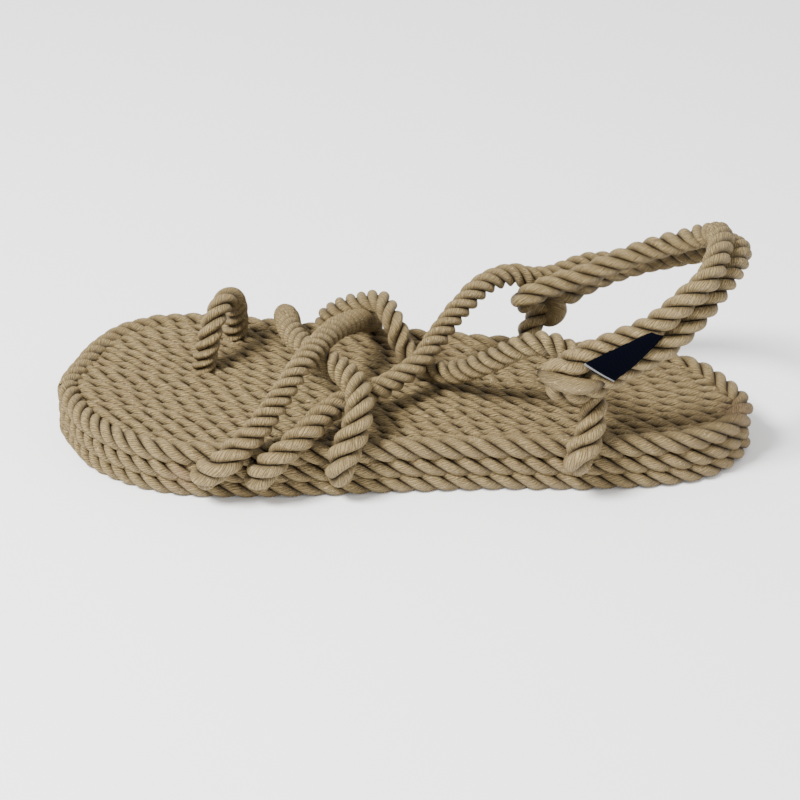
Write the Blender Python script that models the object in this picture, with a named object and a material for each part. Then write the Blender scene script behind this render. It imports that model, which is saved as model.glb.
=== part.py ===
"""Left rope sandal: three stacked rope mats, a toe loop, joined rope straps and a label tab.

The toe points to -X, the outer side of the foot is -Y and the floor is z = 0.
Tables and sizes are in millimetres; the meshes are in metres.
"""
import math

import bmesh
import bpy
import numpy as np

MM = 0.001

# Sole: each mat is one rope thick, with a rope laid round its rim
MAT_STEP = 6.6
MAT_THICK = 6.3
RIM_WIDE = 8.4
TOP_RIM_HIGH = 7.2
TOP_RIM_Z = 16.8
ROW_PITCH = 5.1
ROW_COUNT = 23
ROW_CREST_Z = 19.8
ROW_VALLEY_Z = 18.3
ROW_BASE_Z = 14.3
BED_FLOOR_Z = 16.2
ROW_INSET = 7.7
OUTLINE_POINTS = 64

# Outline from the toe to the heel: x, outer edge y, inner edge y
OUTLINE = [
    (-122.0, -14.0, 22.5),
    (-113.0, -28.5, 42.0),
    (-99.0, -40.0, 53.0),
    (-81.0, -47.0, 56.5),
    (-56.0, -49.0, 53.0),
    (-26.0, -47.5, 47.5),
    (4.0, -45.0, 43.5),
    (37.0, -43.5, 38.5),
    (71.0, -43.5, 33.0),
    (96.0, -40.5, 27.5),
    (111.0, -35.0, 19.5),
    (121.5, -25.0, 4.5),
]
TOE_TIP = (-126.8, 1.0)
HEEL_TIP = (126.8, -10.5)

# Run of the rows across the footbed: x, y of the middle row
ROW_RUN = [
    (-132.0, 26.0),
    (-100.0, 17.5),
    (-60.0, 8.0),
    (-20.0, 0.0),
    (20.0, -8.5),
    (50.0, -13.5),
    (72.0, -15.0),
    (92.0, -13.5),
    (110.0, -9.5),
    (132.0, -1.0),
]
ROW_STATIONS = 13

# Rope and its seats in the mats
SEAT_CLEAR = 0.3
SEAT_EXTRA = 0.6
ROPE_STEP = 4.5
TUCK_Z = 8.4

# Rope routes: x, y, z of the points between the ends
# Each strap starts at the outer edge of the sole
TOE_LOOP = [
    (-74.0, 13.0, 14.8),
    (-73.5, 13.0, 21.0),
    (-72.0, 13.5, 28.5),
    (-70.0, 16.0, 36.0),
    (-67.0, 21.5, 41.0),
    (-64.0, 28.5, 40.5),
    (-62.5, 33.5, 35.5),
    (-62.5, 36.5, 28.0),
    (-63.5, 38.5, 21.0),
    (-64.5, 39.0, 14.8),
]
FRONT_STRAP = [
    (-63.0, -53.5, 18.0),
    (-57.0, -50.5, 23.0),
    (-50.0, -46.0, 29.0),
    (-43.5, -38.5, 35.5),
    (-37.0, -28.5, 42.0),
    (-30.5, -15.5, 44.5),
    (-23.5, 1.5, 42.5),
    (-16.5, 19.5, 35.5),
    (-13.0, 35.5, 26.5),
    (-12.0, 45.5, 20.5),
]
MIDDLE_STRAP = [
    (-21.5, -50.0, 18.0),
    (-18.0, -47.0, 25.0),
    (-15.5, -41.5, 31.0),
    (-16.0, -33.0, 35.5),
    (-21.5, -21.5, 37.0),
    (-30.0, -10.5, 37.0),
    (-37.0, 1.5, 35.5),
    (-41.5, 16.5, 33.5),
    (-43.5, 35.5, 28.0),
    (-45.0, 49.0, 21.0),
]
INNER_STRAP = [
    (-46.0, -53.0, 18.0),
    (-41.5, -51.5, 21.5),
    (-33.5, -45.5, 26.5),
    (-25.5, -34.5, 29.0),
    (-16.0, -24.5, 28.5),
    (-4.5, -16.0, 29.5),
    (5.5, -7.0, 32.5),
    (12.5, 5.5, 36.5),
    (20.5, 16.5, 42.0),
    (30.5, 27.5, 47.0),
    (39.0, 33.0, 47.5),
    (48.0, 36.5, 44.5),
    (56.0, 40.0, 43.5),
    (66.0, 43.5, 46.0),
    (74.0, 45.0, 46.5),
    (80.0, 45.5, 46.0),
]
OUTER_STRAP = [
    (61.0, -49.5, 18.0),
    (64.5, -46.5, 24.5),
    (66.3, -42.0, 31.0),
    (66.5, -37.0, 36.5),
    (65.5, -34.3, 41.0),
    (63.0, -33.0, 45.5),
    (58.5, -30.0, 49.0),
    (51.0, -25.0, 50.3),
    (41.5, -20.0, 46.0),
    (28.5, -13.5, 35.5),
    (17.0, -4.5, 27.0),
    (7.0, 3.0, 25.2),
    (0.5, 7.0, 30.5),
    (-3.5, 12.5, 38.5),
    (-8.0, 24.0, 40.5),
    (-16.0, 33.0, 35.5),
    (-24.5, 40.5, 28.5),
    (-29.0, 46.5, 21.5),
]
HEEL_STRAP = [
    (48.5, 38.5, 34.5),
    (45.3, 34.5, 35.5),
    (44.8, 31.0, 38.5),
    (49.0, 30.0, 42.0),
    (56.5, 31.0, 44.5),
    (65.5, 32.5, 46.8),
    (76.5, 33.5, 51.5),
    (89.0, 32.0, 58.0),
    (101.0, 26.5, 64.5),
    (109.0, 16.5, 72.0),
    (112.0, 1.5, 80.0),
    (109.5, -15.5, 82.5),
    (103.5, -29.5, 78.0),
    (95.5, -36.5, 72.0),
    (86.0, -39.5, 65.0),
    (77.0, -40.0, 60.5),
    (69.5, -40.3, 57.2),
    (62.5, -41.5, 54.3),
    (57.5, -42.7, 51.2),
    (53.7, -43.0, 49.4),
    (52.4, -43.2, 46.7),
    (53.5, -43.3, 44.0),
    (57.5, -43.2, 42.2),
    (64.0, -42.6, 43.0),
    (70.5, -41.8, 45.8),
    (79.0, -41.0, 50.5),
    (89.0, -39.5, 56.0),
    (100.0, -34.5, 63.5),
    (109.0, -25.5, 70.5),
    (116.0, -15.5, 74.8),
    (120.0, -4.0, 76.5),
    (119.5, 7.0, 73.0),
    (116.5, 18.0, 67.5),
    (111.0, 29.0, 60.0),
    (103.0, 38.0, 53.5),
    (92.5, 44.5, 47.5),
    (82.0, 47.5, 42.5),
    (73.0, 47.5, 38.5),
    (65.0, 46.5, 35.0),
    (57.0, 44.5, 31.5),
    (52.0, 42.5, 27.0),
    (48.5, 41.5, 21.5),
]

# Where each strap's ends are tucked: x on the outer and on the inner edge, or None
TUCKS = {
    "front_strap": (-69.5, -12.0),
    "middle_strap": (-22.5, -45.0),
    "inner_strap": (-50.5, None),
    "outer_strap": (61.5, -30.0),
    "heel_strap": (None, 45.5),
}

# Rope radius along each rope: share of its length, radius
GIRTH = {
    "toe_loop": [(0.0, 4.9), (0.15, 4.6), (0.35, 4.2), (0.7, 4.2), (1.0, 4.9)],
    "front_strap": [(0.0, 4.7), (0.08, 5.2), (0.18, 4.9), (0.32, 4.2), (0.8, 4.1), (1.0, 4.3)],
    "middle_strap": [(0.0, 4.7), (0.08, 5.1), (0.2, 4.7), (0.5, 4.5), (1.0, 4.4)],
    "inner_strap": [(0.0, 4.7), (0.07, 5.1), (0.18, 4.5), (0.35, 4.2), (1.0, 4.2)],
    "outer_strap": [(0.0, 4.8), (0.06, 5.2), (0.16, 4.7), (0.25, 4.3), (1.0, 4.2)],
    "heel_strap": [(0.0, 4.3), (1.0, 4.3)],
}

# Label tab lying on the heel ropes: x, y, z of its lower and of its upper edge
LABEL = [
    ((72.4, -47.2, 47.4), (62.0, -47.4, 54.2)),
    ((76.0, -46.6, 50.2), (67.5, -46.4, 56.8)),
    ((79.5, -46.0, 53.0), (72.9, -45.8, 59.4)),
    ((83.0, -45.5, 56.7), (78.3, -45.5, 62.1)),
    ((86.6, -45.1, 60.8), (82.7, -45.2, 64.5)),
    ((89.1, -44.9, 64.0), (85.0, -45.1, 65.4)),
]
LABEL_THICK = 0.7
LABEL_BULGE = 0.5


def clear_scene():
    for obj in list(bpy.data.objects):
        bpy.data.objects.remove(obj, do_unlink=True)


def new_collection(name):
    collection = bpy.data.collections.new(name)
    bpy.context.scene.collection.children.link(collection)
    return collection


def new_material(name, colour, roughness):
    material = bpy.data.materials.new(name)
    material.use_nodes = True
    shader = material.node_tree.nodes["Principled BSDF"]
    shader.inputs["Base Color"].default_value = (*colour, 1.0)
    shader.inputs["Roughness"].default_value = roughness
    shader.inputs["Metallic"].default_value = 0.0
    return material


def smooth_path(points, step, closed=False):
    """Points about step apart on a smooth curve through the given points."""
    knots = np.array(points, float)
    if closed:
        knots = np.vstack([knots[-2:], knots, knots[:3]])
    spans = np.sqrt(np.linalg.norm(np.diff(knots, axis=0), axis=1))[:, None]
    slopes = np.diff(knots, axis=0) / spans
    tangents = np.vstack([slopes[:1], slopes[:1].repeat(len(knots) - 2, axis=0), slopes[-1:]])
    weights = spans[:-1] + spans[1:]
    tangents[1:-1] = (slopes[:-1] * spans[1:] + slopes[1:] * spans[:-1]) / weights
    first, last = (2, len(knots) - 3) if closed else (0, len(knots) - 1)
    t = np.linspace(0, 1, 24, endpoint=False)[:, None]
    dense = []
    for i in range(first, last):
        dense.append(
            (2 * t**3 - 3 * t**2 + 1) * knots[i]
            + (t**3 - 2 * t**2 + t) * spans[i] * tangents[i]
            + (3 * t**2 - 2 * t**3) * knots[i + 1]
            + (t**3 - t**2) * spans[i] * tangents[i + 1]
        )
    dense = np.vstack(dense + [knots[last:last + 1]])
    along = np.concatenate([[0.0], np.cumsum(np.linalg.norm(np.diff(dense, axis=0), axis=1))])
    count = max(2, round(along[-1] / step))
    places = np.linspace(0, along[-1], count + 1)
    if closed:
        places = places[:-1]
    return np.array([np.interp(places, along, dense[:, i]) for i in range(knots.shape[1])]).T


def sole_outline():
    """The sole's edge in plan, from the toe along the inner side and back along the outer."""
    inner = [(x, far) for x, near, far in OUTLINE]
    outer = [(x, near) for x, near, far in reversed(OUTLINE)]
    corners = [TOE_TIP] + inner + [HEEL_TIP] + outer
    dense = smooth_path(corners, 1.0, closed=True)
    picks = np.linspace(0, len(dense), OUTLINE_POINTS, endpoint=False).astype(int)
    return dense[picks]


def inset_outline(outline, inset):
    """The outline moved towards the middle of the sole by inset."""
    along = np.roll(outline, -1, axis=0) - np.roll(outline, 1, axis=0)
    inward = np.column_stack([along[:, 1], -along[:, 0]])
    inward /= np.linalg.norm(inward, axis=1)[:, None]
    return outline + inward * inset


def edge_y(x, side):
    """Where the sole's edge lies across the sole at x, on side -1 (outer) or +1 (inner)."""
    columns = np.array(OUTLINE)
    return float(np.interp(x, columns[:, 0], columns[:, 1 if side < 0 else 2]))


def link_mesh(name, bm, collection, material=None):
    bmesh.ops.recalc_face_normals(bm, faces=bm.faces)
    mesh = bpy.data.meshes.new(name)
    bm.to_mesh(mesh)
    bm.free()
    obj = bpy.data.objects.new(name, mesh)
    collection.objects.link(obj)
    if material:
        mesh.materials.append(material)
    return obj


def loft(name, rings, collection, material=None):
    """A closed solid through rings of equal length, capped at both ends."""
    bm = bmesh.new()
    rows = [[bm.verts.new(np.array(p) * MM) for p in ring] for ring in rings]
    for lower, upper in zip(rows, rows[1:]):
        for i in range(len(lower)):
            j = (i + 1) % len(lower)
            bm.faces.new((lower[i], lower[j], upper[j], upper[i]))
    bm.faces.new(rows[0])
    bm.faces.new(rows[-1])
    return link_mesh(name, bm, collection, material)


def level_ring(outline, inset, z):
    plan = inset_outline(outline, inset)
    return [(x, y, z) for x, y in plan]


def rim_rings(outline, middle_z, high, angles):
    """Rings round a rim rope of oval section; angle -90 is its underside, 90 its top."""
    half = RIM_WIDE / 2
    rings = []
    for angle in np.radians(angles):
        inset = half * (1 - math.cos(angle))
        rings.append(level_ring(outline, inset, middle_z + high / 2 * math.sin(angle)))
    return rings


def as_cutter(obj):
    obj.hide_render = True
    obj.display_type = "WIRE"
    return obj


def add_boolean(obj, operation, other=None, collection=None):
    modifier = obj.modifiers.new(operation.title(), "BOOLEAN")
    modifier.operation = operation
    modifier.solver = "EXACT"
    if collection:
        modifier.operand_type = "COLLECTION"
        modifier.collection = collection
    else:
        modifier.object = other
    return modifier


def apply_modifiers(obj):
    """Replaces an object's mesh with the evaluated one and drops its modifiers."""
    graph = bpy.context.evaluated_depsgraph_get()
    mesh = bpy.data.meshes.new_from_object(obj.evaluated_get(graph))
    obj.modifiers.clear()
    obj.data = mesh


def rope_path(name, route):
    """A strap's route, with its ends tucked between the lower and the middle mat."""
    def tuck(x, side):
        edge = edge_y(x, side)
        return [
            (x, edge - side * 9.5, TUCK_Z),
            (x, edge - side * 3.0, TUCK_Z + 0.2),
            (x, edge + side * 2.4, TUCK_Z + 3.6),
        ]
    outer_x, inner_x = TUCKS.get(name, (None, None))
    start = [] if outer_x is None else tuck(outer_x, -1)
    end = [] if inner_x is None else tuck(inner_x, 1)[::-1]
    return smooth_path(start + route + end, ROPE_STEP)


def rope(name, path, radii, collection, material=None):
    """A plain round rope as a mesh with welded caps."""
    curve = bpy.data.curves.new(name, "CURVE")
    curve.dimensions = "3D"
    curve.bevel_depth = MM
    curve.bevel_resolution = 2
    curve.use_fill_caps = True
    curve.render_resolution_u = 0
    spline = curve.splines.new("POLY")
    spline.points.add(len(path) - 1)
    for point, place, radius in zip(spline.points, path, radii):
        point.co = (*(place * MM), 1.0)
        point.radius = radius
    source = bpy.data.objects.new(name + "_curve", curve)
    bpy.context.scene.collection.objects.link(source)
    graph = bpy.context.evaluated_depsgraph_get()
    mesh = bpy.data.meshes.new_from_object(source.evaluated_get(graph))
    place = source.matrix_world.copy()
    bpy.data.objects.remove(source, do_unlink=True)
    bm = bmesh.new()
    bm.from_mesh(mesh)
    bmesh.ops.remove_doubles(bm, verts=bm.verts, dist=0.00001)
    bmesh.ops.recalc_face_normals(bm, faces=bm.faces)
    bm.to_mesh(mesh)
    bm.free()
    mesh.name = name
    mesh.materials.clear()
    if material:
        mesh.materials.append(material)
    obj = bpy.data.objects.new(name, mesh)
    obj.matrix_world = place
    collection.objects.link(obj)
    return obj


def rope_radii(name, path):
    """The rope's radius at each point of its path."""
    shares, radii = np.array(GIRTH[name]).T
    return np.interp(np.linspace(0, 1, len(path)), shares, radii)


def seat_cutter(name, path, cutters):
    """A fatter and longer copy of a rope, for the seats that its ends lie in."""
    longer = path.copy()
    for end, inside in ((0, 1), (-1, -2)):
        outward = path[end] - path[inside]
        longer[end] += outward / np.linalg.norm(outward) * SEAT_EXTRA
    return as_cutter(rope(name + "_seat", longer, rope_radii(name, path) + SEAT_CLEAR, cutters))


def lower_mat(name, index, outline, collection, material):
    """A mat whose rim is a half-round rope, flat above and below."""
    middle = index * MAT_STEP + MAT_THICK / 2
    rings = rim_rings(outline, middle, MAT_THICK, (-90, -60, -30, 0, 30, 60, 90))
    return loft(name, rings, collection, material)


def row_slab(collection):
    """Side by side rows running along the foot, wider and longer than the sole."""
    run = smooth_path(ROW_RUN, 1.0)
    rings = []
    for x in np.linspace(ROW_RUN[0][0], ROW_RUN[-1][0], ROW_STATIONS):
        middle = float(np.interp(x, run[:, 0], run[:, 1]))
        left = middle - ROW_COUNT * ROW_PITCH / 2
        ring = []
        for row in range(ROW_COUNT):
            valley = left + row * ROW_PITCH
            ring.append((x, valley, ROW_VALLEY_Z))
            ring.append((x, valley + 0.3 * ROW_PITCH, ROW_CREST_Z))
            ring.append((x, valley + 0.7 * ROW_PITCH, ROW_CREST_Z))
        right = left + ROW_COUNT * ROW_PITCH
        ring.append((x, right, ROW_VALLEY_Z))
        ring.append((x, right, ROW_BASE_Z))
        ring.append((x, left, ROW_BASE_Z))
        rings.append(ring)
    return loft("footbed_rows", rings, collection)


def top_mat(outline, collection, cutters, material):
    """The footbed: a rope round the rim and rows of rope inside it."""
    rings = rim_rings(outline, TOP_RIM_Z, TOP_RIM_HIGH, (-90, -60, -30, 0, 30, 60, 90, 120, 145, 165))
    rings.append(level_ring(outline, RIM_WIDE + 0.3, BED_FLOOR_Z))
    bed = loft("footbed", rings, collection, material)
    field = [level_ring(outline, ROW_INSET, z) for z in (ROW_BASE_Z - 2, ROW_CREST_Z + 2)]
    field = as_cutter(loft("footbed_field", field, cutters))
    rows = as_cutter(row_slab(cutters))
    add_boolean(rows, "INTERSECT", field)
    apply_modifiers(rows)
    add_boolean(bed, "UNION", rows)
    return bed


def label_tab(collection, material):
    """A thin woven strip that bulges a little towards the outer side."""
    rings = []
    for low, high in LABEL:
        across = np.linspace(0, 1, 4)[:, None]
        front = np.array(low) + (np.array(high) - np.array(low)) * across
        front[1:-1, 1] -= LABEL_BULGE
        rings.append(list(front) + list(front[::-1] + (0.0, LABEL_THICK, 0.0)))
    return loft("label_tab", rings, collection, material)


def build_sandal():
    clear_scene()
    sandal = new_collection("rope_sandal")
    cutters = new_collection("cutters")
    seats = new_collection("seats")
    sole_rope = new_material("sole_rope", (0.32, 0.25, 0.16), 0.75)
    strap_rope = new_material("strap_rope", (0.34, 0.27, 0.17), 0.7)
    woven_label = new_material("woven_label", (0.01, 0.012, 0.025), 0.8)

    outline = sole_outline()
    mats = [
        lower_mat("outsole", 0, outline, sandal, sole_rope),
        lower_mat("midsole", 1, outline, sandal, sole_rope),
        top_mat(outline, sandal, cutters, sole_rope),
    ]

    routes = {
        "front_strap": FRONT_STRAP,
        "middle_strap": MIDDLE_STRAP,
        "inner_strap": INNER_STRAP,
        "outer_strap": OUTER_STRAP,
        "heel_strap": HEEL_STRAP,
        "toe_loop": TOE_LOOP,
    }
    paths = {name: rope_path(name, route) for name, route in routes.items()}
    for name, path in paths.items():
        seat_cutter(name, path, seats)
    for mat in mats:
        add_boolean(mat, "DIFFERENCE", collection=seats)

    loop = paths.pop("toe_loop")
    rope("toe_loop", loop, rope_radii("toe_loop", loop), sandal, strap_rope)
    front = paths.pop("front_strap")
    upper = rope("upper", front, rope_radii("front_strap", front), sandal, strap_rope)
    for name, path in paths.items():
        add_boolean(upper, "UNION", as_cutter(rope(name, path, rope_radii(name, path), cutters)))
    label_tab(sandal, woven_label)


build_sandal()
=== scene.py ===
"""Look of a left rope sandal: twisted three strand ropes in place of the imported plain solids.

The toe points to -X, the outer side of the foot is -Y and the floor is z = 0.
Tables and sizes are in millimetres; the meshes are in metres.
"""

import math

import bpy
import numpy as np
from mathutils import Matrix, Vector


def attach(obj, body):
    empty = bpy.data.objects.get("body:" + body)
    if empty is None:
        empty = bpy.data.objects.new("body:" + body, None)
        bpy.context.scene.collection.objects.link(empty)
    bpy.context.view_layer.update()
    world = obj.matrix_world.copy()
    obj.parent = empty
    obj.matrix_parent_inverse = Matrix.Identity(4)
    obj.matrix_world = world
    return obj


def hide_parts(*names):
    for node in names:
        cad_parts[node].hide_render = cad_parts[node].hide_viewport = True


MM = 0.001
MM_PER_CM = 10

# Sole: each mat is one rope thick, with a rope laid round its rim. The core's outline keeps one
# point in CORE_THINNING
RIM_HALF_WIDE = 4.25
ROW_PITCH = 5.1
ROW_COUNT = 22
ROW_HALF_WIDE = 2.95
ROW_INSET = 5.6
CORE_INSET = 3.6
CORE_THINNING = 3

# Mats: name, height of the rim's middle, half height of the rim, low and high side of the core plate,
# which is painted shade seen between the ropes
MATS = [
    ("outsole", 3.7, 4.2, (2.8, 6.4)),
    ("midsole", 9.75, 4.3, (6.5, 13.0)),
    ("footbed", 16.6, 4.3, (13.1, 16.4)),
]

# Rows that show: middle height, half height, step along the row, points across each strand
ROWS = {
    "footbed": (16.1, 3.6, 1.0, 8),
    "outsole": (3.3, 3.2, 1.6, 6),
}
SHORTEST_ROW = 8

# Outline from the toe to the heel: x, outer edge y, inner edge y
OUTLINE = [
    (-122.0, -14.0, 22.5),
    (-113.0, -28.5, 42.0),
    (-99.0, -40.0, 53.0),
    (-81.0, -47.0, 56.5),
    (-56.0, -49.0, 53.0),
    (-26.0, -47.5, 47.5),
    (4.0, -45.0, 43.5),
    (37.0, -43.5, 38.5),
    (71.0, -43.5, 33.0),
    (96.0, -40.5, 27.5),
    (111.0, -35.0, 19.5),
    (121.5, -25.0, 4.5),
]
TOE_TIP = (-126.8, 1.0)
HEEL_TIP = (126.8, -10.5)

# Run of the rows across the footbed: x, y of the middle row
ROW_RUN = [
    (-132.0, 26.0),
    (-100.0, 17.5),
    (-60.0, 8.0),
    (-20.0, 0.0),
    (20.0, -8.5),
    (50.0, -13.5),
    (72.0, -15.0),
    (92.0, -13.5),
    (110.0, -9.5),
    (132.0, -1.0),
]

# Rope: lay is the length of one full turn of the three strands, and it is shorter round the toe
SOLE_LAY = 24.0
TOE_LAY = 17.0
TOE_LAY_FROM, TOE_LAY_TO = -60.0, -112.0

# One strand's section in a rope of radius 1: its centre, its radius outwards and sideways
LOBE_CENTRE = 0.52
LOBE_RADIAL = 0.48
LOBE_SIDEWAYS = 0.54
RIM_SIDEWAYS = 0.56

# Points across each strand and steps along the paths
LOBE_POINTS = 9
STRAP_LOBE_POINTS = 12
KNOT_STRAND_POINTS = 15
OUTLINE_STEP = 1.0
STRAP_STEP = 0.7
KNOT_STEP = 0.6
CURVE_PARTS = 24

# Unevenness: distance between random values, then the most they change the twist or the girth
TWIST_WANDER = (14.0, 0.28)
SWELL_WANDER = (9.0, 0.055)

# Ends and floor: length over which a rope's end is rounded, least share of the girth that is left
# there, squared, and the gap between the ropes and the floor
END_ROUND = 3.5
END_LEAST = 0.0001
STRAND_END_LEAST = 0.02
FLOOR_GAP = 0.2

# A tucked end, from inside the sole outwards: how far past the edge, how far above TUCK_Z, and the
# share that it takes of its strap's extra height in HIGH_TUCKS
TUCK_Z = 8.4
TUCK_STEPS = [(-9.5, 0.0, 0.0), (-3.0, 0.2, 0.5), (2.4, 3.6, 1.0)]

# Random seeds of the meshes
SOLE_SEED = 20
STRAP_SEED = 7
TOE_LOOP_SEED = 11

# Yarns on the rope's surface: distance between them in centimetres, slant, how many yarns they stray,
# and how far up its side a yarn is fully light, painted light on its crown over painted shade
# between the yarns. Scales are per centimetre around and along the rope
YARN_PITCH = 0.09
YARN_SLANT = 0.3
YARN_STRAY = 2.6
YARN_FULL = 0.75
STRAY_SCALE = (5.0, 1.5)
FIBRE_SCALE = (34.0, 6.0)
FIBRE_LEVELS = (0.3, 0.7)

# Each strand and each rope starts elsewhere in the pattern, in centimetres
STRAND_SHIFTS = (0.0, 7.3, 15.1)
LONGEST_SHIFT = 50

# Tones of the rope and how much each covers. A strand's arch goes from 0 in the groove to 1 on its
# crown: the painted groove shade ends at GROOVE_WIDTH, and the soft painted shade, never below
# SHADE_LEAST, at SHADE_WIDTH, past the crown
FIBRE_SHARE = 0.4
PATCH_TONE = (0.16, 0.098, 0.045)
PATCH_SHARE = 0.22
PATCH_SCALE = 26.0
PATCH_LEVELS = (0.35, 0.65)
# Glints are painted highlights: pale specks mixed into the rope's colour
PAINTED_GLINT_TONE = (0.74, 0.62, 0.42)
PAINTED_GLINT_SHARE = 0.34
PAINTED_GLINT_SCALE = 1300.0
PAINTED_GLINT_LEVELS = (0.66, 0.74)
GROOVE_WIDTH = 0.36
SHADE_WIDTH = 1.3
SHADE_LEAST = 0.3

# Surface: depth of the yarns' relief, the fibres' part in it, roughness from yarns to loose fibres
RELIEF = 0.38
FIBRE_RELIEF = 0.9
ROPE_ROUGHNESS = (0.5, 0.8)
ROPE_SPECULAR = 0.35
PLAIN_SPECULAR = 0.02
GRAIN_SCALE = 900.0
GRAIN_DARK = 0.4
WEAVE_SCALE = 700.0

# Places where rope ends are melted together on the rims: centre, radius. The tone covers
# MELTED_SHARE, fully within MELTED_CORE of the radius
MELTED = [((-78.7, -48.0, 8.5), 7.0), ((120.0, -19.0, 19.0), 9.0)]
MELTED_TONE = (0.215, 0.128, 0.07)
MELTED_SHARE = 0.42
MELTED_CORE = 0.35

# Rope routes: x, y, z of the points between the ends
# The straps that cross the foot start at its outer edge, and the heel strap at the inner knot
TOE_LOOP = [
    (-74.0, 13.0, 12.0),
    (-73.5, 13.0, 21.0),
    (-72.0, 13.5, 28.5),
    (-70.0, 16.0, 36.0),
    (-67.0, 21.5, 41.0),
    (-64.0, 28.5, 40.5),
    (-62.5, 33.5, 35.5),
    (-62.5, 36.5, 28.0),
    (-63.5, 38.5, 21.0),
    (-64.5, 39.0, 12.0),
]
FRONT_STRAP = [
    (-63.0, -53.5, 18.0),
    (-57.0, -50.5, 23.0),
    (-50.0, -46.0, 29.0),
    (-43.5, -38.5, 35.5),
    (-37.0, -28.5, 42.0),
    (-30.5, -15.5, 44.5),
    (-23.5, 1.5, 42.5),
    (-16.5, 19.5, 35.5),
    (-13.0, 35.5, 26.5),
    (-12.0, 45.5, 20.5),
]
MIDDLE_STRAP = [
    (-21.5, -50.0, 18.0),
    (-18.0, -47.0, 25.0),
    (-15.5, -41.5, 31.0),
    (-16.0, -33.0, 35.5),
    (-21.5, -21.5, 37.0),
    (-30.0, -10.5, 37.0),
    (-37.0, 1.5, 35.5),
    (-41.5, 16.5, 33.5),
    (-43.5, 35.5, 28.0),
    (-45.0, 49.0, 21.0),
]
INNER_STRAP = [
    (-46.0, -53.0, 18.0),
    (-41.5, -51.5, 21.5),
    (-33.5, -45.5, 26.5),
    (-25.5, -34.5, 29.0),
    (-16.0, -24.5, 28.5),
    (-4.5, -16.0, 29.5),
    (5.5, -7.0, 32.5),
    (12.5, 5.5, 36.5),
    (20.5, 16.5, 42.0),
    (30.5, 27.5, 47.0),
    (39.0, 33.0, 47.5),
    (48.0, 36.5, 44.5),
    (56.0, 40.0, 43.5),
    (66.0, 43.5, 46.0),
    (74.0, 45.0, 46.5),
    (80.0, 45.5, 46.0),
]
OUTER_STRAP = [
    (61.0, -49.5, 18.0),
    (64.5, -46.5, 24.5),
    (66.3, -42.0, 31.0),
    (66.5, -37.0, 36.5),
    (65.5, -34.3, 41.0),
    (63.0, -33.0, 45.5),
    (58.5, -30.0, 49.0),
    (51.0, -25.0, 50.3),
    (41.5, -20.0, 46.0),
    (28.5, -13.5, 35.5),
    (17.0, -4.5, 27.0),
    (7.0, 3.0, 25.2),
    (0.5, 7.0, 30.5),
    (-3.5, 12.5, 38.5),
    (-8.0, 24.0, 40.5),
    (-16.0, 33.0, 35.5),
    (-24.5, 40.5, 28.5),
    (-29.0, 46.5, 21.5),
]
HEEL_STRAP = [
    (48.5, 38.5, 34.5),
    (45.3, 34.5, 35.5),
    (44.8, 31.0, 38.5),
    (49.0, 30.0, 42.0),
    (56.5, 31.0, 44.5),
    (65.5, 32.5, 46.8),
    (76.5, 33.5, 51.5),
    (89.0, 32.0, 58.0),
    (101.0, 26.5, 64.5),
    (109.0, 16.5, 72.0),
    (112.4, 1.5, 79.6),
    (110.2, -15.5, 82.0),
    (104.6, -29.5, 77.6),
    (95.5, -36.5, 72.0),
    (86.0, -39.5, 65.0),
    (77.0, -40.0, 60.5),
    (69.5, -40.3, 57.2),
    (62.5, -41.5, 54.3),
    (57.5, -42.7, 51.2),
    (53.7, -43.0, 49.4),
    (52.4, -43.2, 46.7),
    (53.5, -43.3, 44.0),
    (57.5, -43.2, 42.2),
    (64.0, -42.6, 43.0),
    (70.5, -41.8, 45.8),
    (79.0, -41.0, 50.5),
    (89.0, -39.5, 56.0),
    (99.4, -34.5, 63.6),
    (107.8, -25.5, 70.1),
    (114.6, -15.5, 73.7),
    (118.8, -4.0, 75.1),
    (118.7, 7.0, 72.1),
    (116.5, 18.0, 67.5),
    (111.0, 29.0, 60.0),
    (103.0, 38.0, 53.5),
    (92.5, 44.5, 47.5),
    (82.0, 47.5, 42.5),
    (73.0, 47.5, 38.5),
    (65.0, 46.5, 35.0),
    (57.0, 44.5, 31.5),
    (52.0, 42.5, 27.0),
    (48.5, 41.5, 21.5),
]

# Where each strap's ends are tucked: x on the outer and on the inner edge, or None
TUCKS = {
    "front_strap": (-69.5, -12.0),
    "middle_strap": (-22.5, -45.0),
    "inner_strap": (-50.5, None),
    "outer_strap": (61.5, -30.0),
    "heel_strap": (None, 45.5),
}

# Straps whose outer end comes out of the sole higher than the others, by how much
HIGH_TUCKS = {"outer_strap": 2.6}

# Rope radius along each rope: share of its length, radius
GIRTH = {
    "toe_loop": [(0.0, 5.0), (0.15, 4.7), (0.35, 4.3), (0.7, 4.3), (1.0, 4.9)],
    "front_strap": [(0.0, 4.7), (0.08, 5.5), (0.18, 5.1), (0.32, 4.4), (0.8, 4.3), (1.0, 4.4)],
    "middle_strap": [(0.0, 4.2), (0.08, 4.9), (0.13, 5.9), (0.2, 5.3), (0.5, 4.7), (1.0, 4.5)],
    "inner_strap": [(0.0, 4.7), (0.07, 5.4), (0.18, 4.8), (0.35, 4.4), (1.0, 4.4)],
    "outer_strap": [(0.0, 3.8), (0.055, 4.3), (0.1, 5.8), (0.17, 5.0), (0.25, 4.5), (1.0, 4.4)],
    "heel_strap": [
        (0.0, 4.5), (0.27, 4.5), (0.34, 4.8), (0.42, 4.7), (0.445, 5.4), (0.48, 5.4), (0.53, 4.6),
        (0.6, 4.8), (0.67, 4.7), (0.72, 4.5), (0.88, 4.6), (0.905, 5.4), (0.93, 4.5), (1.0, 4.5),
    ],
}

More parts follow.
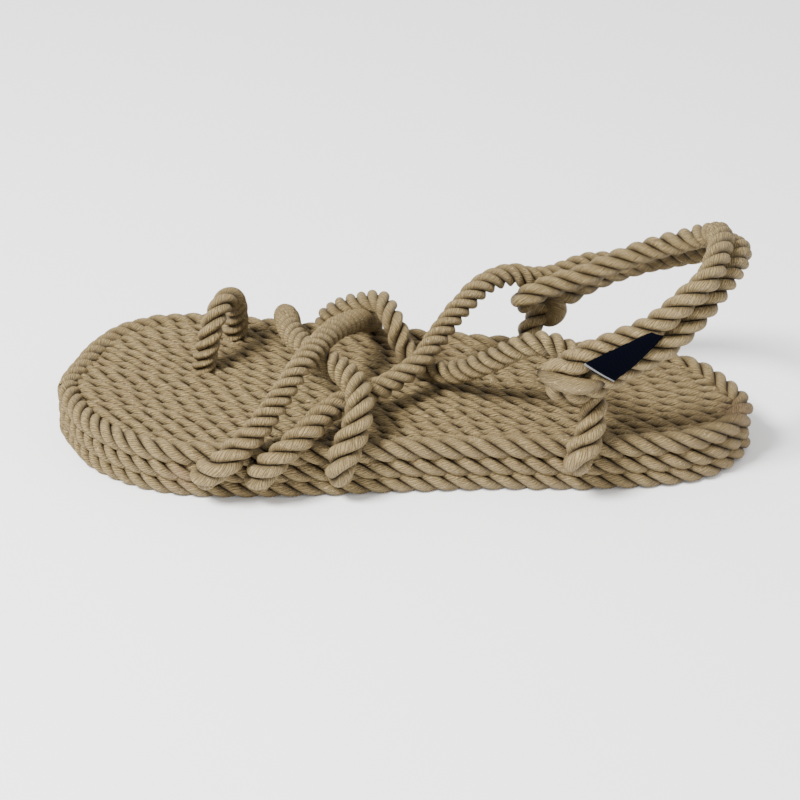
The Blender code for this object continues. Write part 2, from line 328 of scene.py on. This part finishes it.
# Lay along each rope, the length of one full turn of its strands: share of its length, lay
LAY = {
    "toe_loop": [(0.0, 9.5), (0.2, 11.5), (0.35, 16.0), (0.7, 16.0), (1.0, 11.0)],
    "front_strap": [(0.0, 22.0), (0.12, 20.0), (0.25, 13.5), (0.45, 11.5), (0.6, 12.5), (1.0, 14.5)],
    "middle_strap": [(0.0, 22.0), (0.15, 19.0), (0.35, 16.0), (1.0, 16.0)],
    "inner_strap": [(0.0, 22.0), (0.12, 18.0), (0.3, 17.5), (0.5, 16.5), (0.65, 15.0), (1.0, 15.0)],
    "outer_strap": [
        (0.0, 20.0), (0.16, 20.0), (0.21, 18.0), (0.3, 16.0), (0.55, 16.0), (0.64, 19.0), (1.0, 18.0),
    ],
    "heel_strap": [
        (0.0, 22.0), (0.2, 22.0), (0.3, 19.5), (0.42, 20.0), (0.46, 24.0), (0.5, 20.0), (0.9, 20.0),
        (1.0, 18.0),
    ],
}

# Strands that bulge out of the side knots: slant of their yarns, then radius and x, y, z along each
KNOT_YARN_SLANT = 0.6
KNOT_STRANDS = [
    (3.1, [
        (46.4, -43.6, 49.6),
        (50.2, -46.8, 48.6),
        (56.0, -48.0, 47.0),
        (62.5, -48.1, 46.0),
        (69.5, -46.4, 46.2),
    ]),
    (3.9, [
        (52.6, 40.0, 34.5),
        (56.4, 40.6, 32.2),
        (58.0, 41.0, 28.4),
        (56.0, 41.3, 25.0),
        (52.0, 41.8, 22.6),
    ]),
]

# Label tab lying on the heel ropes: x, y, z of its lower and of its upper edge. The cut edge takes
# LABEL_EDGE of the way from the first row to the second
LABEL = [
    ((72.4, -47.2, 47.4), (62.0, -47.4, 54.2)),
    ((76.0, -46.6, 50.2), (67.5, -46.4, 56.8)),
    ((79.5, -46.0, 53.0), (72.9, -45.8, 59.4)),
    ((83.0, -45.5, 56.7), (78.3, -45.5, 62.1)),
    ((86.6, -45.1, 60.8), (82.7, -45.2, 64.5)),
    ((89.1, -44.9, 64.0), (85.0, -45.1, 65.4)),
]
LABEL_THICK = 0.7
LABEL_BULGE = 0.5
LABEL_EDGE = 0.12
LABEL_COLUMNS = 9

# Camera: target point in metres, distance and angle of the view
CAMERA_TARGET = (-0.0012, 0.0224, 0.0)
CAMERA_DISTANCE = 1.0
CAMERA_ELEVATION = math.radians(30)
CAMERA_LENS = 119.54
CAMERA_SENSOR = 36.0

# Studio: half the floor's side and the lights' places in metres, sizes and powers
FLOOR_HALF = 4.0
SKY_STRENGTH = 1.1
LIGHTS = [
    ("key", (-0.6, -0.45, 1.0), 0.4, 40.0),
    ("fill", (0.8, -0.6, 0.6), 0.9, 2.5),
]


def smooth_path(points, step, closed=False):
    """Points about step apart on a smooth curve through the given points."""
    knots = np.array(points, float)
    if closed:
        knots = np.vstack([knots[-2:], knots, knots[:3]])
    spans = np.sqrt(np.linalg.norm(np.diff(knots, axis=0), axis=1))[:, None]
    slopes = np.diff(knots, axis=0) / spans
    tangents = np.vstack([slopes[:1], slopes])
    tangents[1:-1] = (slopes[:-1] * spans[1:] + slopes[1:] * spans[:-1]) / (spans[:-1] + spans[1:])
    first, last = (2, len(knots) - 3) if closed else (0, len(knots) - 1)
    t = np.linspace(0, 1, CURVE_PARTS, endpoint=False)[:, None]
    dense = []
    for i in range(first, last):
        dense.append(
            (2 * t**3 - 3 * t**2 + 1) * knots[i]
            + (t**3 - 2 * t**2 + t) * spans[i] * tangents[i]
            + (3 * t**2 - 2 * t**3) * knots[i + 1]
            + (t**3 - t**2) * spans[i] * tangents[i + 1]
        )
    dense = np.vstack(dense + [knots[last:last + 1]])
    along = run_lengths(dense)
    count = max(2, round(along[-1] / step))
    places = np.linspace(0, along[-1], count + 1)
    return np.array([np.interp(places, along, dense[:, i]) for i in range(knots.shape[1])]).T


def run_lengths(path):
    """Distance from the start to each point of a path."""
    return np.concatenate([[0.0], np.cumsum(np.linalg.norm(np.diff(path, axis=0), axis=1))])


def unit(vectors):
    """The vectors brought to length 1."""
    return vectors / np.linalg.norm(vectors, axis=-1, keepdims=True)


def sole_outline():
    """The sole's edge in plan as a closed path whose last point repeats the first."""
    inner = [(x, far) for x, near, far in OUTLINE]
    outer = [(x, near) for x, near, far in reversed(OUTLINE)]
    return smooth_path([TOE_TIP] + inner + [HEEL_TIP] + outer, OUTLINE_STEP, closed=True)


def inset_outline(outline, inset):
    """The outline moved towards the middle of the sole by inset."""
    ring = outline[:-1]
    along = np.roll(ring, -2, axis=0) - np.roll(ring, 2, axis=0)
    inward = unit(np.column_stack([along[:, 1], -along[:, 0]]))
    moved = ring + inward * inset
    return np.vstack([moved, moved[:1]])


def edge_y(x, side):
    """Where the sole's edge lies across the sole at x, on side -1 (outer) or +1 (inner)."""
    columns = np.array(OUTLINE)
    return float(np.interp(x, columns[:, 0], columns[:, 1 if side < 0 else 2]))


def rope_path(name, route, step):
    """A strap's route, with its ends tucked between the lower and the middle mat."""
    def tuck(x, side):
        edge = edge_y(x, side)
        raise_by = HIGH_TUCKS.get(name, 0.0) if side < 0 else 0.0
        return [(x, edge + side * out, TUCK_Z + up + raise_by * part) for out, up, part in TUCK_STEPS]

    outer_x, inner_x = TUCKS.get(name, (None, None))
    start = [] if outer_x is None else tuck(outer_x, -1)
    end = [] if inner_x is None else tuck(inner_x, 1)[::-1]
    return smooth_path(start + route + end, step)


def along_rope(table, name, path):
    """A column of a table of shares of the length, read at each point of the path."""
    shares, values = np.array(table[name]).T
    return np.interp(np.linspace(0, 1, len(path)), shares, values)


def carried_frames(path):
    """Side and up vectors carried along a free path without twisting."""
    tangents = unit(np.gradient(path, axis=0))
    sides = np.empty_like(path)
    side = np.cross((0.0, 0.0, 1.0), tangents[0])
    for i, tangent in enumerate(tangents):
        side = side - tangent * side.dot(tangent)
        side /= np.linalg.norm(side)
        sides[i] = side
    return sides, np.cross(tangents, sides)


def level_frames(path, closed):
    """Side and up vectors of a path that lies flat: up is always +Z."""
    if closed:
        ring = path[:-1]
        tangents = np.roll(ring, -1, axis=0) - np.roll(ring, 1, axis=0)
        tangents = np.vstack([tangents, tangents[:1]])
    else:
        tangents = np.gradient(path, axis=0)
    tangents[:, 2] = 0.0
    ups = np.tile((0.0, 0.0, 1.0), (len(path), 1))
    return np.cross(ups, unit(tangents)), ups


def lobe_section(points, sideways):
    """One strand's outer arc in a rope of radius 1, from groove to groove."""
    c, a, b = LOBE_CENTRE, LOBE_RADIAL, sideways
    tilt = math.radians(60)
    p = (math.cos(tilt) / a) ** 2 + (math.sin(tilt) / b) ** 2
    q = -2 * math.cos(tilt) * c / a**2
    r = (c / a) ** 2 - 1
    groove = (-q + math.sqrt(q * q - 4 * p * r)) / (2 * p)
    most = math.atan2(groove * math.sin(tilt) / b, (groove * math.cos(tilt) - c) / a)
    angles = np.linspace(-most, most, points)
    return c + a * np.cos(angles), b * np.sin(angles)


def wander(rng, lengths, spacing, amount):
    """A smooth random wave along a rope."""
    knots = np.arange(0, lengths[-1] + 2 * spacing, spacing)
    values = rng.uniform(-amount, amount, len(knots))
    return np.interp(lengths, knots, values)


class RopeMesh:
    """Collects twisted ropes and makes one mesh of them.

    Its UV layers give the place across each strand, and the place around and along the rope.
    """

    def __init__(self, seed):
        self.rng = np.random.default_rng(seed)
        self.points = []
        self.quads = []
        self.strand_places = []
        self.rope_places = []
        self.count = 0

    def add(
        self,
        path,
        frames,
        half_wide,
        half_high,
        lay=SOLE_LAY,
        closed=False,
        lobe_points=LOBE_POINTS,
        sideways=LOBE_SIDEWAYS,
        round_ends=True,
    ):
        """One rope of three strands twisted along a path; sizes are single values or one per point."""
        sides, ups = frames
        lengths = run_lengths(path)
        half_wide = np.broadcast_to(half_wide, lengths.shape)
        half_high = np.broadcast_to(half_high, lengths.shape)
        girth = half_wide.mean()
        turns = np.cumsum(np.gradient(lengths) / lay)
        if closed:
            turns = turns * (round(turns[-1] * 3) / 3 / turns[-1])
        phase = self.rng.uniform(0, 2 * math.pi)
        twist = phase + 2 * math.pi * (turns - turns[0])
        if not closed:
            twist = twist + wander(self.rng, lengths, *TWIST_WANDER)
        if round_ends and not closed:
            inward = np.minimum(lengths, lengths[-1] - lengths) / END_ROUND
            rounded = np.sqrt(np.clip(1 - (1 - np.minimum(inward, 1.0)) ** 2, END_LEAST, 1))
            half_wide, half_high = half_wide * rounded, half_high * rounded
        x, y = lobe_section(lobe_points, sideways)
        rings = np.empty((len(path), 3, lobe_points, 3))
        around = np.empty((len(path), 3, lobe_points))
        for lobe in range(3):
            swell = 1 + wander(self.rng, lengths, *SWELL_WANDER)
            if closed:
                swell[-1] = swell[0]
            angle = (twist + lobe * 2 * math.pi / 3)[:, None]
            around[:, lobe] = (angle + np.arctan2(y, x)) * girth / MM_PER_CM
            across = (x * np.cos(angle) - y * np.sin(angle)) * (half_wide * swell)[:, None]
            upward = (x * np.sin(angle) + y * np.cos(angle)) * (half_high * swell)[:, None]
            rings[:, lobe] = (
                path[:, None] + across[..., None] * sides[:, None] + upward[..., None] * ups[:, None]
            )
        number = np.arange(len(path) * 3 * lobe_points).reshape(len(path), 3, lobe_points) + self.count
        quads = np.stack(
            [number[:-1, :, :-1], number[:-1, :, 1:], number[1:, :, 1:], number[1:, :, :-1]], axis=-1
        )
        u = np.tile(np.linspace(0, 1, lobe_points), (len(path), 3, 1))
        start = self.rng.uniform(0, LONGEST_SHIFT)
        shifts = np.array(STRAND_SHIFTS)[None, :, None]
        v = lengths[:, None, None] / MM_PER_CM + start + shifts + 0 * u
        self.points.append(rings.reshape(-1, 3))
        self.quads.append(quads.reshape(-1, 4))
        self.strand_places.append(np.stack([u, v], axis=-1).reshape(-1, 2))
        self.rope_places.append(np.stack([around + start, v], axis=-1).reshape(-1, 2))
        self.count += rings.shape[0] * 3 * lobe_points

    def add_strand(self, path, radius):
        """A single bulging strand that tapers to both ends."""
        sides, ups = carried_frames(path)
        lengths = run_lengths(path)
        share = lengths / lengths[-1]
        thick = radius * np.sqrt(np.clip(1 - (2 * share - 1) ** 2, STRAND_END_LEAST, 1))
        angle = np.linspace(0, 2 * math.pi, KNOT_STRAND_POINTS)
        sideways = np.cos(angle)[None, :, None] * sides[:, None]
        ring = sideways + np.sin(angle)[None, :, None] * ups[:, None]
        rings = path[:, None] + ring * thick[:, None, None]
        shape = (len(path), KNOT_STRAND_POINTS)
        number = np.arange(shape[0] * shape[1]).reshape(shape) + self.count
        quads = np.stack([number[:-1, :-1], number[:-1, 1:], number[1:, 1:], number[1:, :-1]], axis=-1)
        along = np.repeat(lengths[:, None] / MM_PER_CM, KNOT_STRAND_POINTS, axis=1)
        around = np.repeat(angle[None] * radius / MM_PER_CM, len(path), axis=0)
        self.points.append(rings.reshape(-1, 3))
        self.quads.append(quads.reshape(-1, 4))
        # The share of the length stands for the place across, so the painted groove and strand shade darken
        # both ends
        ends_shaded = np.repeat(share[:, None], KNOT_STRAND_POINTS, axis=1)
        self.strand_places.append(np.stack([ends_shaded, along], axis=-1).reshape(-1, 2))
        slanted = around + along * KNOT_YARN_SLANT
        self.rope_places.append(np.stack([slanted, along], axis=-1).reshape(-1, 2))
        self.count += rings.shape[0] * KNOT_STRAND_POINTS

    def build(self, name, material):
        """The mesh object of all ropes added so far."""
        points = np.vstack(self.points) * MM
        points[:, 2] = np.maximum(points[:, 2], FLOOR_GAP * MM)
        quads = np.vstack(self.quads)
        mesh = bpy.data.meshes.new(name)
        mesh.from_pydata(points, [], quads)
        for layer_name, places in (("strand", self.strand_places), ("rope", self.rope_places)):
            layer = mesh.uv_layers.new(name=layer_name)
            layer.data.foreach_set("uv", np.vstack(places)[quads.ravel()].ravel())
        mesh.polygons.foreach_set("use_smooth", np.ones(len(quads), bool))
        mesh.materials.append(material)
        mesh.update()
        obj = bpy.data.objects.new(name, mesh)
        bpy.context.scene.collection.objects.link(obj)
        return obj


def lift(plan, z):
    """A path in plan brought to height z."""
    return np.column_stack([plan, np.full(len(plan), z)])


def add_rim(ropes, outline, z, half_high):
    """The rope laid round a mat's edge."""
    path = lift(inset_outline(outline, RIM_HALF_WIDE), z)
    frames = level_frames(path, True)
    lay = np.interp(path[:, 0], (TOE_LAY_TO, TOE_LAY_FROM), (TOE_LAY, SOLE_LAY))
    ropes.add(path, frames, RIM_HALF_WIDE, half_high, lay, closed=True, sideways=RIM_SIDEWAYS)


def add_rows(ropes, outline, z, half_high, step, lobe_points):
    """Side by side rows along the foot, cut off where the rim covers them."""
    field = inset_outline(outline, ROW_INSET)[:-1]
    toe, heel = field[:, 0].argmin(), field[:, 0].argmax()
    inner = field[toe:heel + 1] if toe < heel else np.roll(field, -toe, axis=0)[:heel - toe + 1]
    outer = np.roll(field, -heel, axis=0)[: (toe - heel) % len(field) + 1]
    inner = inner[inner[:, 0].argsort()]
    outer = outer[outer[:, 0].argsort()]
    run = smooth_path(ROW_RUN, step)
    for row in range(ROW_COUNT):
        shift = (row - (ROW_COUNT - 1) / 2) * ROW_PITCH
        line = run + (0.0, shift)
        lowest = np.interp(line[:, 0], outer[:, 0], outer[:, 1], left=math.inf, right=math.inf)
        highest = np.interp(line[:, 0], inner[:, 0], inner[:, 1], left=-math.inf, right=-math.inf)
        line = line[(line[:, 1] > lowest) & (line[:, 1] < highest)]
        if len(line) < SHORTEST_ROW:
            continue
        path = lift(line, z)
        ropes.add(path, level_frames(path, False), ROW_HALF_WIDE, half_high, lobe_points=lobe_points)


def shade_core_plate(name, outline, low, high, material):
    """A plate inside a mat, coloured as painted shade, seen only in the grooves between its ropes."""
    plan = inset_outline(outline, CORE_INSET)[:-1:CORE_THINNING]
    count = len(plan)
    points = [(x * MM, y * MM, z * MM) for z in (low, high) for x, y in plan]
    faces = [tuple(range(count))[::-1], tuple(range(count, 2 * count))]
    faces += [(i, (i + 1) % count, count + (i + 1) % count, count + i) for i in range(count)]
    mesh = bpy.data.meshes.new(name)
    mesh.from_pydata(points, [], faces)
    mesh.materials.append(material)
    obj = bpy.data.objects.new(name, mesh)
    bpy.context.scene.collection.objects.link(obj)
    return obj


class Nodes:
    """Short calls for building a material's node tree."""

    def __init__(self, name):
        self.material = bpy.data.materials.new(name)
        self.material.use_nodes = True
        self.tree = self.material.node_tree
        self.shader = self.tree.nodes["Principled BSDF"]

    def new(self, kind, settings=None, **inputs):
        """A node with its settings and its inputs."""
        node = self.tree.nodes.new("ShaderNode" + kind)
        for key, value in (settings or {}).items():
            setattr(node, key, value)
        for key, value in inputs.items():
            self.put(node, key, value)
        return node

    def put(self, node, key, value):
        """Sets or links an input, called by its name or, as i0 or i1, by its number."""
        socket = node.inputs[int(key[1:])] if key[0] == "i" and key[1:].isdigit() else node.inputs[key]
        if isinstance(value, bpy.types.NodeSocket):
            self.tree.links.new(value, socket)
        else:
            socket.default_value = value

    def math(self, operation, a, b=0.0, c=0.0):
        return self.new("Math", {"operation": operation}, i0=a, i1=b, i2=c).outputs[0]

    def blend(self, factor, a, b):
        """Colour a turning into colour b as the factor goes from 0 to 1."""
        node = self.new("Mix", {"data_type": "RGBA", "blend_type": "MIX"}, i0=factor, i6=a, i7=b)
        return node.outputs[2]

    def noise(self, vector, scale, detail=2.0):
        return self.new("TexNoise", None, Vector=vector, Scale=scale, Detail=detail).outputs[0]

    def spread(self, value, low, high, to_low=0.0, to_high=1.0):
        node = self.new("MapRange", None, Value=value)
        for key, number in (("From Min", low), ("From Max", high), ("To Min", to_low), ("To Max", to_high)):
            node.inputs[key].default_value = number
        return node.outputs[0]

    def smooth_spread(self, value, high, to_low=0.0):
        """Rises smoothly from to_low at 0 to 1 at high."""
        node = self.new("MapRange", {"interpolation_type": "SMOOTHSTEP"}, Value=value)
        node.inputs["From Max"].default_value = high
        node.inputs["To Min"].default_value = to_low
        return node.outputs[0]

    def stretched(self, around, along, scale):
        """A place on the rope's surface, scaled around the rope and along it."""
        x = self.math("MULTIPLY", around, scale[0])
        y = self.math("MULTIPLY", along, scale[1])
        return self.new("CombineXYZ", None, X=x, Y=y).outputs[0]

    def arch(self, value):
        """0 where value is 0 or 1, and 1 half way between."""
        falling = self.math("MULTIPLY", value, self.math("SUBTRACT", 1.0, value))
        return self.math("MULTIPLY", falling, 4.0)


def melted_share(n, place):
    """How far a point of the rope's surface is melted: 1 in the middle of a joint, 0 outside."""
    share = 0.0
    for centre, radius in MELTED:
        middle = [value * MM for value in centre]
        away = n.new("VectorMath", {"operation": "DISTANCE"}, i0=place, i1=middle).outputs[1]
        near = n.spread(away, MELTED_CORE * radius * MM, radius * MM, 1.0, 0.0)
        share = n.math("MAXIMUM", near, share)
    return share


def rope_material(name, light, middle, fibre_and_shade_dark, groove):
    """Twisted rope: fine yarns along the rope, painted glints, and painted shade across each strand and in
    the grooves between its strands.
    """
    n = Nodes(name)
    across = n.new("SeparateXYZ", None, i0=n.new("UVMap", {"uv_map": "strand"}).outputs[0]).outputs[0]
    rope = n.new("SeparateXYZ", None, i0=n.new("UVMap", {"uv_map": "rope"}).outputs[0])
    along = rope.outputs[1]
    around = n.math("MULTIPLY_ADD", along, YARN_SLANT, rope.outputs[0])

    # Yarns and loose fibres. Each yarn goes from the middle tone at its edges to the light tone on its
    # crown: yarn stripes with painted shade between the yarns
    straying = n.noise(n.stretched(around, along, STRAY_SCALE), 1.0)
    strayed = n.math("MULTIPLY_ADD", straying, YARN_STRAY, n.math("DIVIDE", around, YARN_PITCH))
    yarn = n.arch(n.math("FRACT", strayed))
    fibre = n.spread(n.noise(n.stretched(around, along, FIBRE_SCALE), 1.0), *FIBRE_LEVELS)
    place = n.new("TexCoord").outputs["Object"]
    patch = n.spread(n.noise(place, PATCH_SCALE, 3.0), *PATCH_LEVELS)
    painted_glint = n.spread(n.noise(place, PAINTED_GLINT_SCALE, 1.0), *PAINTED_GLINT_LEVELS)
    colour = n.blend(n.spread(yarn, 0.0, YARN_FULL), (*middle, 1), (*light, 1))
    colour = n.blend(n.math("MULTIPLY", fibre, FIBRE_SHARE), colour, (*fibre_and_shade_dark, 1))
    colour = n.blend(n.math("MULTIPLY", patch, PATCH_SHARE), colour, (*PATCH_TONE, 1))
    # Painted highlight: pale glint specks mixed into the colour
    colour = n.blend(n.math("MULTIPLY", painted_glint, PAINTED_GLINT_SHARE), colour, (*PAINTED_GLINT_TONE, 1))

    # Painted shade across each strand and in the grooves between the strands, lifted at the joints that
    # hide them
    crown = n.arch(across)
    groove_shade_mask = n.smooth_spread(crown, GROOVE_WIDTH)
    shade = n.smooth_spread(crown, SHADE_WIDTH, SHADE_LEAST)
    melted = melted_share(n, place)
    colour = n.blend(n.math("MULTIPLY", melted, MELTED_SHARE), colour, (*MELTED_TONE, 1))
    # Painted shade: the dark tone towards each strand's edges, then the groove tone in the grooves
    colour = n.blend(n.math("MAXIMUM", shade, melted), (*fibre_and_shade_dark, 1), colour)
    colour = n.blend(n.math("MAXIMUM", groove_shade_mask, melted), (*groove, 1), colour)

    n.put(n.shader, "Base Color", colour)
    n.put(n.shader, "Roughness", n.spread(fibre, 0.0, 1.0, *ROPE_ROUGHNESS))
    n.shader.inputs["Specular IOR Level"].default_value = ROPE_SPECULAR
    height = n.math("MULTIPLY_ADD", fibre, FIBRE_RELIEF, yarn)
    bump = n.new("Bump", None, Height=height, Strength=1.0, Distance=RELIEF * MM)
    n.put(n.shader, "Normal", bump.outputs[0])
    return n.material


def plain_material(name, colour, roughness, grain=0.0, weave=0.0):
    """A matt surface, with a fine speckle and a woven relief where they are asked for."""
    n = Nodes(name)
    place = n.new("TexCoord").outputs["Object"]
    if grain:
        speckle = n.math("MULTIPLY", n.noise(place, GRAIN_SCALE), grain)
        darker = (*(c * GRAIN_DARK for c in colour), 1)
        n.put(n.shader, "Base Color", n.blend(speckle, (*colour, 1), darker))
    else:
        n.shader.inputs["Base Color"].default_value = (*colour, 1)
    if weave:
        diagonal = {"bands_direction": "DIAGONAL"}
        ribs = n.new("TexWave", diagonal, Vector=place, Scale=WEAVE_SCALE, Distortion=0.6)
        bump = n.new("Bump", None, Height=ribs.outputs[1], Strength=0.8, Distance=weave)
        n.put(n.shader, "Normal", bump.outputs[0])
    n.shader.inputs["Roughness"].default_value = roughness
    n.shader.inputs["Specular IOR Level"].default_value = PLAIN_SPECULAR
    return n.material


def label_tab(weave, cut):
    """A thin woven strip that bulges a little outwards, with a pale cut edge at its lower end."""
    rows = np.array(LABEL)
    edge = rows[0] + (rows[1] - rows[0]) * LABEL_EDGE
    rings = []
    for low, high in [rows[0], edge, *rows[1:]]:
        across = np.linspace(0, 1, LABEL_COLUMNS)[:, None]
        front = low + (high - low) * across
        front[:, 1] -= LABEL_BULGE * np.sin(across[:, 0] * math.pi)
        rings.append(np.vstack([front, front[::-1] + (0.0, LABEL_THICK, 0.0)]))
    rings = np.array(rings) * MM
    wide = rings.shape[1]
    faces = [tuple(range(wide))[::-1], tuple(range((len(rings) - 1) * wide, len(rings) * wide))]
    looks = [1, 0]
    for i in range(len(rings) - 1):
        for j in range(wide):
            k = (j + 1) % wide
            faces.append((i * wide + j, i * wide + k, (i + 1) * wide + k, (i + 1) * wide + j))
            looks.append(1 if i == 0 else 0)
    mesh = bpy.data.meshes.new("label")
    mesh.from_pydata(rings.reshape(-1, 3), [], faces)
    mesh.materials.append(weave)
    mesh.materials.append(cut)
    mesh.polygons.foreach_set("material_index", looks)
    obj = bpy.data.objects.new("label", mesh)
    bpy.context.scene.collection.objects.link(obj)
    return obj


def settle(obj, node):
    """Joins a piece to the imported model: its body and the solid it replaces."""
    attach(obj, "root")
    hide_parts(node)


def build_sole(rope_look, core_shade_look):
    """Three mats of rope with their core plates, coloured as painted shade between the ropes."""
    outline = sole_outline()
    for number, (name, z, half_high, core) in enumerate(MATS):
        ropes = RopeMesh(SOLE_SEED + number)
        add_rim(ropes, outline, z, half_high)
        if name in ROWS:
            add_rows(ropes, outline, *ROWS[name])
        settle(ropes.build(name + "_rope", rope_look), name)
        settle(shade_core_plate(name + "_core", outline, *core, core_shade_look), name)


def add_round_rope(ropes, name, route):
    """A strap or the toe loop along its route, with its own girth and lay."""
    path = rope_path(name, route, STRAP_STEP)
    radius = along_rope(GIRTH, name, path)
    ropes.add(
        path,
        carried_frames(path),
        radius,
        radius,
        along_rope(LAY, name, path),
        lobe_points=STRAP_LOBE_POINTS,
        round_ends=name != "toe_loop",
    )


def build_straps(rope_look, label_look, cut_look):
    """The five straps with the strands of their knots, the toe loop and the label."""
    ropes = RopeMesh(STRAP_SEED)
    routes = {
        "front_strap": FRONT_STRAP,
        "middle_strap": MIDDLE_STRAP,
        "inner_strap": INNER_STRAP,
        "outer_strap": OUTER_STRAP,
        "heel_strap": HEEL_STRAP,
    }
    for name, route in routes.items():
        add_round_rope(ropes, name, route)
    for radius, points in KNOT_STRANDS:
        ropes.add_strand(smooth_path(points, KNOT_STEP), radius)
    settle(ropes.build("strap_ropes", rope_look), "upper")
    loop = RopeMesh(TOE_LOOP_SEED)
    add_round_rope(loop, "toe_loop", TOE_LOOP)
    settle(loop.build("toe_loop_rope", rope_look), "toe_loop")
    settle(label_tab(label_look, cut_look), "label_tab")


def add_light(name, place, size, power):
    """A soft round light aimed at the sandal."""
    data = bpy.data.lights.new(name, "AREA")
    data.shape = "DISK"
    data.size = size
    data.energy = power
    lamp = bpy.data.objects.new(name, data)
    lamp.location = place
    lamp.rotation_euler = (-Vector(place)).to_track_quat("-Z", "Y").to_euler()
    bpy.context.scene.collection.objects.link(lamp)


def build_studio():
    """A plain pale floor under an even sky, with two lights."""
    corners = [(x * FLOOR_HALF, y * FLOOR_HALF, 0) for x, y in ((-1, -1), (1, -1), (1, 1), (-1, 1))]
    mesh = bpy.data.meshes.new("floor")
    mesh.from_pydata(corners, [], [(0, 1, 2, 3)])
    mesh.materials.append(plain_material("floor_white", (0.97, 0.97, 0.97), roughness=0.9))
    floor = bpy.data.objects.new("floor", mesh)
    bpy.context.scene.collection.objects.link(floor)
    world = bpy.data.worlds.new("studio")
    world.use_nodes = True
    sky = world.node_tree.nodes["Background"]
    sky.inputs["Color"].default_value = (1.0, 1.0, 1.0, 1.0)
    sky.inputs["Strength"].default_value = SKY_STRENGTH
    bpy.context.scene.world = world
    for light in LIGHTS:
        add_light(*light)


def build_camera():
    """The photo's view: square to the outer side, looking down."""
    data = bpy.data.cameras.new("camera")
    data.lens = CAMERA_LENS
    data.sensor_width = CAMERA_SENSOR
    camera = bpy.data.objects.new("camera", data)
    back = Vector((0, -math.cos(CAMERA_ELEVATION), math.sin(CAMERA_ELEVATION)))
    camera.location = Vector(CAMERA_TARGET) + back * CAMERA_DISTANCE
    camera.rotation_euler = (math.pi / 2 - CAMERA_ELEVATION, 0, 0)
    bpy.context.scene.collection.objects.link(camera)
    bpy.context.scene.camera = camera


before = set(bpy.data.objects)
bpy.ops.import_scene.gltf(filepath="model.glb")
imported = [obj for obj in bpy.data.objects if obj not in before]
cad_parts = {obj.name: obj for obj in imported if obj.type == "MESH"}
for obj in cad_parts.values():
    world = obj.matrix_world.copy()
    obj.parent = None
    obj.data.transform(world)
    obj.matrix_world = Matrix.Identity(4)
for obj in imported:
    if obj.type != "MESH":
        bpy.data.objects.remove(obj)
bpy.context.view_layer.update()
# The light tone lightens each yarn's crown, the dark tone serves both dark fibres and painted shade across
# the strands, and the groove tone is painted shade in the grooves
rope_look = rope_material(
    "twisted_rope",
    light=(0.35, 0.257, 0.113),
    middle=(0.13, 0.09, 0.036),
    fibre_and_shade_dark=(0.040, 0.0245, 0.0068),
    groove=(0.015, 0.009, 0.003),
)
# The core plates take a painted shade colour, standing for the shadow between the sole's ropes
core_shade_look = plain_material("rope_shadow", (0.06, 0.038, 0.018), roughness=0.95, grain=0.3)
label_look = plain_material(
    "label_weave", (0.0012, 0.0016, 0.0045), roughness=0.9, grain=0.3, weave=0.4 * MM
)
cut_look = plain_material(
    "label_cut_edge", (0.2, 0.2, 0.205), roughness=0.9, grain=0.6, weave=0.2 * MM
)
build_sole(rope_look, core_shade_look)
build_straps(rope_look, label_look, cut_look)
build_studio()
build_camera()
